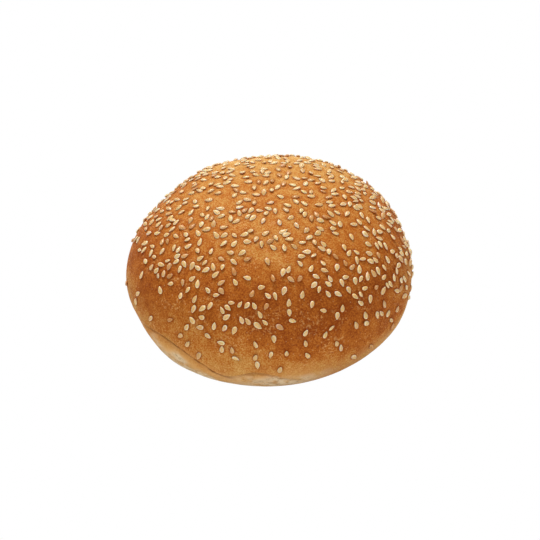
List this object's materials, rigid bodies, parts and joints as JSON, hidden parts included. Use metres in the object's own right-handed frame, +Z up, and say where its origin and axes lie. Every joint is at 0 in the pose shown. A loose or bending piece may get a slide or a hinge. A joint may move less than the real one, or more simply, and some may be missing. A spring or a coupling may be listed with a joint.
{
  "type": "sesame burger bun",
  "caption": "Round domed burger bun, uncut, with a browned crust, sesame seeds over its top and a pale fold along its lower side, standing on its flat base.",
  "frame": {"origin": "centre of the flat base", "axes": "+Z up through the crown, -Y towards the side with the open fold, +X to the right of that side"},
  "size_m": [0.1109, 0.1103, 0.0568],
  "materials": {
    "crust": "baked crust, satin",
    "sesame": "dry, matte"
  },
  "bodies": {
    "root": {"bun": "crust"}
  },
  "joints": []
}
